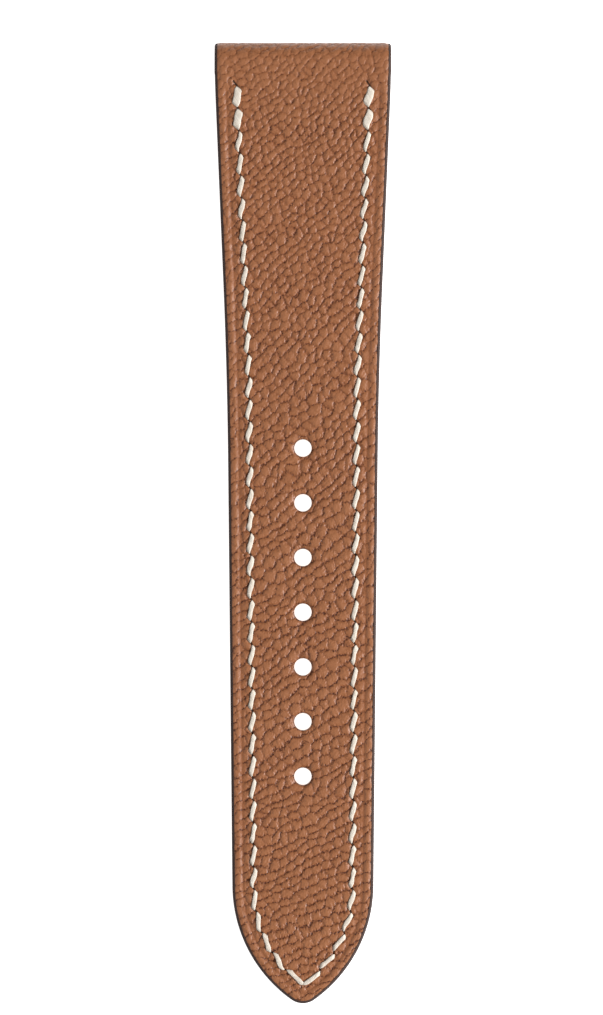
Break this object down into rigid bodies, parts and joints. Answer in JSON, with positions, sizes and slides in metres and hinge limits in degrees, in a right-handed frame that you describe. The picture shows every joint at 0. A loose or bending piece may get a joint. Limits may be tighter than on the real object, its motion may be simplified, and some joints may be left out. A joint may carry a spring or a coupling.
{
  "type": "leather watch strap",
  "caption": "Long half of a folded, edge painted leather watch strap with a spring bar tunnel, buckle holes, creased edge and saddle stitching round a pointed tip.",
  "frame": {"origin": "centre of the spring bar tunnel, on its axis and halfway across the strap", "axes": "+X across the strap along the spring bar, +Y towards the watch, so the tip is towards -Y, +Z out of the grained face"},
  "size_m": [0.02, 0.1088, 0.0043],
  "materials": {
    "grained_tan_leather": "satin",
    "lining_calf": "matte",
    "loop_fabric": "matte",
    "stretch_stop_fabric": "matte",
    "bonded_leather": "matte",
    "edge_paint": "satin",
    "waxed_linen": "matte"
  },
  "bodies": {
    "root": {"upper_leather": "grained_tan_leather", "lining_leather": "lining_calf", "loop_reinforcement": "loop_fabric", "stretch_stop_tape": "stretch_stop_fabric", "filler_wedge": "bonded_leather", "edge_paint": "edge_paint", "thread_strand_a": "waxed_linen", "thread_strand_b": "waxed_linen"}
  },
  "joints": []
}
